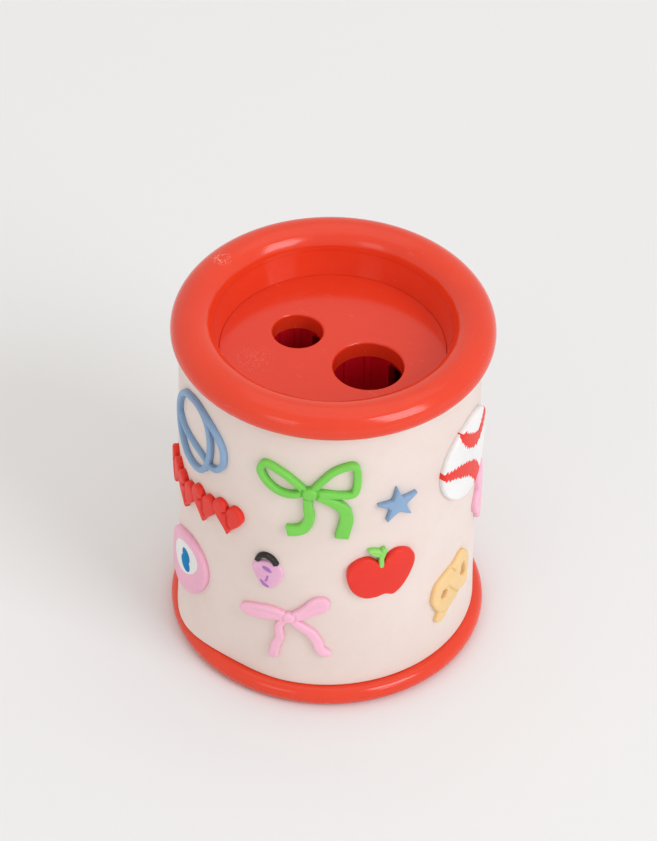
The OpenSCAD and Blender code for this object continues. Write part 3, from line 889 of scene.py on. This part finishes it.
green_rubber = rubber("green_rubber", shade(124, 212, 84))
pink_rubber = rubber("pink_rubber", shade(250, 190, 213))
rose_rubber = rubber("rose_rubber", shade(246, 182, 208))
sky_rubber = rubber("sky_rubber", shade(138, 169, 203))
blue_rubber = rubber("deep_blue_rubber", shade(0, 130, 190), roughness=0.6, specular=0.1)
red_rubber = rubber("red_rubber", shade(236, 44, 26))
leaf_rubber = rubber("leaf_rubber", shade(146, 218, 104))
white_rubber = rubber("white_rubber", shade(240, 239, 238))
tan_rubber = rubber("tan_rubber", shade(243, 206, 146))
black_rubber = rubber("black_rubber", shade(30, 26, 25))
lilac_rubber = rubber("lilac_rubber", shade(240, 190, 214), shade(220, 160, 200))
purple_rubber = rubber("purple_rubber", shade(140, 84, 168), shade(190, 130, 196))
print("rubbers:", [m.name for m in bpy.data.materials if m.name.endswith("rubber")])

# %% [markdown]
# ## Bows
# A bow is two loops, a knot and two tails. On the green and tan ones the loops are open rings;
# on the pink one they are filled. Creases at the knot come from grooves pressed into the top.

# %% The green bow
def groove(points, width=0.13, deep=0.22):
    return (even_spacing(smooth_points(points, False, 8), 0.14, False), width, deep)


green_parts = [
    Strand([(-0.6, 0.8), (-2.2, 2.6), (-4.2, 4.1), (-6.7, 5.1), (-7.5, 3.5), (-6.5, 1.4),
            (-4.6, 0.0), (-2.4, -0.2)], 1.15, closed=True, top=1.05),
    Strand([(0.9, 1.0), (2.4, 3.5), (4.3, 5.5), (6.9, 6.3), (7.5, 3.9), (7.1, 0.6), (5.0, 0.3),
            (2.8, 0.6)], 1.15, closed=True, top=1.05),
    ribbon([(-0.1, -0.2), (0.1, -2.8), (0.3, -4.8), (-0.4, -6.8), (-1.6, -7.7), (-3.2, -8.1)],
           (1.35, 1.5, 1.7, 1.9, 2.0), top=1.0),
    ribbon([(1.0, 0.2), (3.7, -1.1), (5.5, -2.7), (6.0, -4.8), (5.7, -6.8), (5.3, -8.8)],
           (1.3, 1.7, 2.1, 2.2), top=1.0),
    Patch([(-0.7, 1.2), (0.3, 1.6), (1.3, 1.2), (1.3, 0.0), (0.3, -0.4), (-0.7, 0.0)], top=1.3),
]
green_grooves = [groove([(-0.75, 1.4), (-0.95, 0.6), (-0.7, -0.3)], 0.15, 0.34),
                 groove([(1.35, 1.5), (1.6, 0.6), (1.3, -0.3)], 0.15, 0.34),
                 groove([(-0.4, -0.6), (0.4, -0.9), (1.2, -0.5)], 0.15, 0.34)]
charm("green_bow_soft", green_parts, (-62.5, 0.78), green_rubber, ["green_bow"],
      green_grooves)
charm("back_green_bow_soft", green_parts, (112, 0.761), green_rubber, ["back_green_bow"],
      green_grooves)

# %% The pink bow
pink_parts = [
    Patch([(-0.6, 0.9), (-3.3, 1.6), (-5.6, 1.3), (-8.0, 0.5), (-8.8, -0.6), (-7.6, -1.5),
           (-5.5, -1.4), (-2.9, -0.8), (-0.6, -0.2)], top=0.95),
    Patch([(-0.3, 1.0), (1.5, 2.9), (3.0, 4.8), (4.4, 5.3), (5.6, 4.9), (5.8, 3.4), (5.0, 2.4),
           (3.3, 1.4), (1.8, 0.4), (0.2, -0.1)], top=0.95),
    Strand([(-0.9, 0.1), (-2.1, -2.0), (-2.0, -4.5), (-2.6, -6.4), (-3.0, -8.7)],
           (1.2, 1.3, 1.4, 1.5, 1.5), top=0.9),
    Strand([(-0.3, 0.1), (1.6, -1.5), (3.1, -2.7), (4.0, -4.4), (4.6, -6.3), (5.5, -7.0)],
           (1.2, 1.5, 1.6, 1.6, 1.4), top=0.9),
    Patch([(-1.3, 0.9), (-0.5, 1.3), (0.3, 0.9), (0.3, -0.2), (-0.5, -0.6), (-1.3, -0.2)],
          top=1.1),
]
pink_grooves = [groove([(-1.4, 1.1), (-1.55, 0.4), (-1.3, -0.4)], 0.14, 0.13),
                groove([(0.4, 1.3), (0.6, 0.5), (0.3, -0.4)], 0.14, 0.13),
                groove([(-6.8, 0.1), (-4.4, 0.5), (-2.2, 0.5)], 0.22, 0.12),
                groove([(1.4, 1.6), (3.0, 2.9), (4.3, 3.9)], 0.22, 0.1)]
charm("pink_bow_soft", pink_parts, (-67.5, 0.275), pink_rubber, ["pink_bow"],
      pink_grooves)
charm("back_pink_bow_soft", pink_parts, (124, 0.284), pink_rubber, ["back_pink_bow"],
      pink_grooves)

# %% The tan bow
tan_parts = [Patch(
    [(1.8, 5.2), (3.4, 3.6), (3.6, 1.6), (3.3, -0.6), (3.1, -2.6), (1.8, -2.9), (0.3, -2.7),
     (-0.8, -3.5), (-1.8, -3.9), (-2.7, -4.4), (-3.6, -5.5), (-4.9, -6.0), (-5.7, -5.2),
     (-5.2, -3.7), (-5.9, -2.4), (-6.6, -0.6), (-6.5, 0.9), (-6.0, 2.4), (-4.8, 3.4),
     (-3.3, 4.0), (-1.7, 4.3), (-0.6, 4.7), (0.6, 5.3)],
    holes=[[(1.6, 2.7), (2.4, 0.8), (2.4, -0.6), (1.3, -0.1), (0.6, 0.7), (0.7, 2.0)],
           [(-4.6, 0.7), (-3.2, 0.2), (-3.6, -1.2), (-4.5, -0.9)]], top=0.85, edge=0.36)]
tan_grooves = [groove([(-2.2, 4.4), (-1.7, 3.6), (-1.1, 2.8)], 0.13, 0.3),
               groove([(-3.0, 1.0), (-2.2, -0.2), (-1.2, -1.4), (-0.2, -2.5)], 0.13, 0.3),
               groove([(-1.1, 2.8), (-1.6, 2.0), (-2.9, 1.0)], 0.16, 0.16),
               groove([(-4.9, -4.0), (-3.9, -4.2), (-3.1, -4.4)], 0.14, 0.14)]
charm("tan_bow_soft", tan_parts, (5, 0.247), tan_rubber, ["tan_bow"], tan_grooves)

# %% [markdown]
# ## Stars, apple, hearts and the cap drawing
# The star is worked out from two radii, the heart from the usual formula, and the apple is one
# drawn outline. A plain curved crease on each heart catches the light. The apple's stem and
# leaf are a second colour, and the cap is drawn with strands.

# %% The stars
def star_loop(tip, inner, turn, corner=0.35):
    """Ten points, each corner cut in two so that the smoothing keeps it blunt."""
    corners = [((tip if i % 2 == 0 else inner) * math.cos(math.radians(turn + 36 * i)),
                (tip if i % 2 == 0 else inner) * math.sin(math.radians(turn + 36 * i)))
               for i in range(10)]
    p = np.array(corners)
    out = []
    for i in range(10):
        a, b, c = p[i - 1], p[i], p[(i + 1) % 10]
        for other in (a, c):
            out.append(b + (other - b) / np.linalg.norm(other - b) * corner)
    return out


star_parts = [Patch(star_loop(3.75, 1.4, 94, 0.4), top=1.0, edge=0.3)]
charm("blue_star_soft", star_parts, (-28.5, 0.713), sky_rubber, ["blue_star"])
charm("back_stars_soft", star_parts, [(70, 0.797), (166, 0.376)], sky_rubber, ["back_stars"])

# %% The apple and its leaf
apple_parts = [Patch([(-0.6, 2.4), (-2.5, 4.0), (-4.4, 3.8), (-5.9, 2.3), (-6.1, -0.1),
                      (-5.2, -2.8), (-3.4, -4.4), (-1.4, -4.6), (0, -4.3), (1.5, -4.8),
                      (3.2, -3.4), (4.6, -0.9), (5.2, 1.4), (4.7, 3.2), (3.2, 4.3),
                      (1.6, 4.5), (0.1, 3.5)], top=1.05, edge=0.42)]
leaf_parts = [Strand([(-0.7, 2.2), (-0.7, 3.8), (-0.3, 5.2)], (0.85, 0.8, 0.95), top=1.1,
                     edge=0.25),
              Patch([(-0.4, 3.9), (-1.5, 4.3), (-2.3, 4.9), (-2.9, 5.8), (-1.6, 5.7),
                     (-0.4, 5.0)], top=1.0, edge=0.25)]
leaf_grooves = [groove([(-0.8, 4.3), (-1.5, 4.8), (-2.3, 5.4)], 0.1, 0.12)]
for prefix, at in (("", (-33, 0.45)), ("back_", (84, 0.376))):
    charm(prefix + "apple_soft", apple_parts, at, red_rubber, [prefix + "apple"])
    charm(prefix + "apple_leaf_soft", leaf_parts, at, leaf_rubber, [prefix + "apple_leaf"],
          leaf_grooves)

# %% The heart garlands
def heart_loop(width, height, count=44):
    a = np.linspace(0, 2 * math.pi, count, endpoint=False)
    y = 13 * np.cos(a) - 5 * np.cos(2 * a) - 2 * np.cos(3 * a) - np.cos(4 * a) + 2.5
    return np.stack([width / 2 * np.sin(a) ** 3, height / 29 * y], axis=1)


def heart_garland(name, node_name, first_angle, shares):
    width, pitch = 6.0, math.asin(5.5 / sleeve_r)
    parts, grooves = [], []
    for i, share_up in enumerate(shares):
        place = np.array([-sleeve_r * pitch * i, (share_up - shares[0]) * sleeve_height])
        parts.append(Patch(heart_loop(width, 6.7) + place, top=1.0, edge=0.36, smooth=False))
        crease = np.array([(-0.7, 1.1), (-0.1, 1.4), (0.1, 0.4), (0.1, -0.6), (0.6, -1.3)])
        grooves.append(groove(crease + place, 0.17, 0.5))
    charm(name, parts, (first_angle, shares[0]), red_rubber, [node_name], grooves,
          wrap=True)


heart_garland("heart_garland_soft", "heart_garland", -94.8, [0.586, 0.566, 0.538, 0.546])
heart_garland("back_hearts_soft", "back_hearts", 192, [0.669, 0.647, 0.658])

# %% The cap drawing
cap_parts = [
    Strand([(-4.6, 3.6), (-6.4, 0.8), (-6.9, -2.6), (-5.9, -5.8), (-3.7, -8.1), (-0.8, -8.8),
            (1.4, -8.0), (2.9, -5.3), (3.4, -1.6), (3.0, 1.8), (1.8, 4.0), (-0.2, 5.0),
            (-2.6, 4.7)], 1.0, closed=True, top=0.95, edge=0.34),
    Strand([(1.6, 4.3), (3.6, 3.0), (5.3, 1.2), (6.2, -0.8), (6.2, -3.4), (5.1, -5.3),
            (3.8, -5.8), (2.6, -5.5)], 1.0, top=0.9, edge=0.34),
    Strand([(-6.6, -2.2), (-4.5, -3.6), (-1.5, -4.2), (1.2, -4.9), (2.8, -5.6)], 0.9, top=0.85,
           edge=0.34),
]
charm("blue_cap_soft", cap_parts, (-112, 0.852), sky_rubber, ["blue_cap"])

# %% [markdown]
# ## Inlaid charms
# The disc, the purse and the ball each hold a second or third colour. The colours are cast one
# after another, so each later one stands a hair above the one round it. The purse's smudges and
# the ball's seams are thin films, so they take the height of the charm under them.

# %% The disc with its oval and centre
disc_at = (-118, 0.275)
disc_parts = [Patch([(-6.8, 1.8), (-4.2, 3.8), (-1.2, 5.2), (1.2, 5.5), (3.6, 4.5), (5.0, 2.1),
                     (5.0, -0.6), (3.7, -3.5), (1.3, -6.1), (-1.4, -7.2), (-4.2, -7.8),
                     (-7.4, -7.6), (-9.0, -5.2), (-8.6, -1.4)], top=0.9, edge=0.4)]


def circle_loop(x, y, radius, count=24):
    turns = np.linspace(0, 2 * math.pi, count, endpoint=False)
    return np.stack([x + radius * np.cos(turns), y + radius * np.sin(turns)], axis=1)


tilt = math.radians(36)
oval = circle_loop(0, 0, 1) * (4.9, 3.0) @ np.array([[math.cos(tilt), math.sin(tilt)],
                                                     [-math.sin(tilt), math.cos(tilt)]])
oval_parts = [Patch(oval + (-1.2, 0.1), top=1.0, edge=0.14)]
centre_parts = [Patch(circle_loop(-0.4, 1.1, 1.4, 14), top=1.08, edge=0.12),
                Patch(circle_loop(-0.6, -0.7, 1.6, 14), top=1.08, edge=0.12)]
charm("pink_disc_soft", disc_parts, disc_at, rose_rubber, ["pink_disc"])
charm("disc_oval_soft", oval_parts, disc_at, white_rubber, ["disc_oval"])
charm("disc_centre_soft", centre_parts, disc_at, blue_rubber, ["disc_centre"])

# %% The purse
purse_at = (-77, 0.431)
purse_parts = [Patch([(-3.0, 1.1), (-2.5, -0.6), (-1.6, -2.2), (-0.8, -2.9), (0, -3.1),
                      (0.9, -2.6), (1.8, -1.4), (2.4, 0), (2.4, 1.4), (1.6, 2.5), (0.4, 2.9),
                      (-0.8, 2.8), (-2.1, 2.2)], top=0.5, edge=0.4)]
handle_parts = [ribbon([(-2.0, 2.5), (-1.6, 3.5), (-0.7, 4.1), (0.3, 3.9), (0.9, 3.3),
                        (1.3, 2.6)], (0.85, 0.85), top=0.85, edge=0.3)]
purse_marks = [Strand(points, width, top=0.04, edge=0.03) for points, width in (
    ([(-0.7, 1.5), (-0.2, 1.3), (0.3, 1.0)], (0.7, 0.95, 0.6)),
    ([(-0.1, -0.2), (-0.2, -0.8), (-0.4, -1.3)], (0.35, 0.4)),
    ([(-1.2, -1.5), (-0.7, -2.1), (-0.1, -2.4)], (0.4, 0.7, 0.5)))]
charm("purse_patch_soft", purse_parts, purse_at, lilac_rubber, ["purse_patch"])
charm("purse_marks_soft", purse_marks, purse_at, purple_rubber, [],
      over=purse_parts)
charm("purse_handle_soft", handle_parts, purse_at, black_rubber, ["purse_handle"])

# %% The ball and its stitches
ball_at = (10.5, 0.72)
ball_r = 7.9
ball_parts = [Patch(circle_loop(0, 0, ball_r, 48), top=0.95, edge=0.42)]


TOOTH = 0.45


def ragged_band(points, widths, seed):
    """A band with uneven teeth on both edges, which ends at the ball's edge.

    The ends have no teeth, because the ball's edge would fold them over."""
    draw = np.random.default_rng(seed)
    line = even_spacing(smooth_points(points, False, 10), 0.42, False)
    line = line[np.linalg.norm(line, axis=1) < ball_r + 0.35]
    n = side_normals(line, False)
    half = np.interp(np.linspace(0, 1, len(line)), np.linspace(0, 1, len(widths)), widths) / 2
    order = np.arange(len(line))
    from_end = np.minimum(order, order[::-1])
    tooth = np.where(order % 2 == 0, TOOTH, 0.0) * (from_end > 1)
    above = half + tooth + draw.uniform(-0.15, 0.2, len(line))
    below = half + np.roll(tooth, 1) + draw.uniform(-0.15, 0.2, len(line))
    loop = np.vstack([line + n * above[:, None], (line - n * below[:, None])[::-1]])
    reach_out = np.linalg.norm(loop, axis=1)
    return loop * np.minimum(1, (ball_r + 0.03) / reach_out)[:, None]


upper_seam = [(-5.4, 9.0), (-4.2, 7.4), (-2.8, 5.8), (-1.0, 3.9), (1.8, 2.3), (4.2, 3.4),
              (6.3, 5.4), (8.2, 7.6)]
lower_seam = [(-9.4, 1.3), (-6.4, 0.3), (-4.4, -0.4), (-2.1, -1.5), (0.4, -3.2), (2.3, -5.8),
              (3.4, -9.0)]
stitch_parts = [Patch(ragged_band(seam, widths, seed), top=0.08, edge=0.04, smooth=False, gap=0.1)
                for seam, widths, seed in ((upper_seam, (0.9, 1.8, 1.9, 1.7), 3),
                                           (lower_seam, (0.9, 1.8, 2.0, 1.7), 4))]
charm("ball_soft", ball_parts, ball_at, white_rubber, ["ball"])
charm("ball_stitches_soft", stitch_parts, ball_at, red_rubber, ["ball_stitches"],
      gap=0.2, over=ball_parts)

# %% The pink flower
def flower_loop(radius, deep, petals, count=80):
    a = np.linspace(0, 2 * math.pi, count, endpoint=False)
    r = radius - deep + deep * np.abs(np.sin(petals * a / 2))
    return np.stack([r * np.cos(a), r * np.sin(a)], axis=1)


flower_parts = [Patch(flower_loop(5.2, 1.3, 5), top=0.95, edge=0.36, smooth=False)]
flower_grooves = [groove([(1.9 * math.cos(a), 1.9 * math.sin(a)) for a in
                          np.linspace(0, 2 * math.pi, 16)], 0.14, 0.2)]
charm("pink_flower_soft", flower_parts, (32.5, 0.433), pink_rubber, ["pink_flower"],
      flower_grooves)
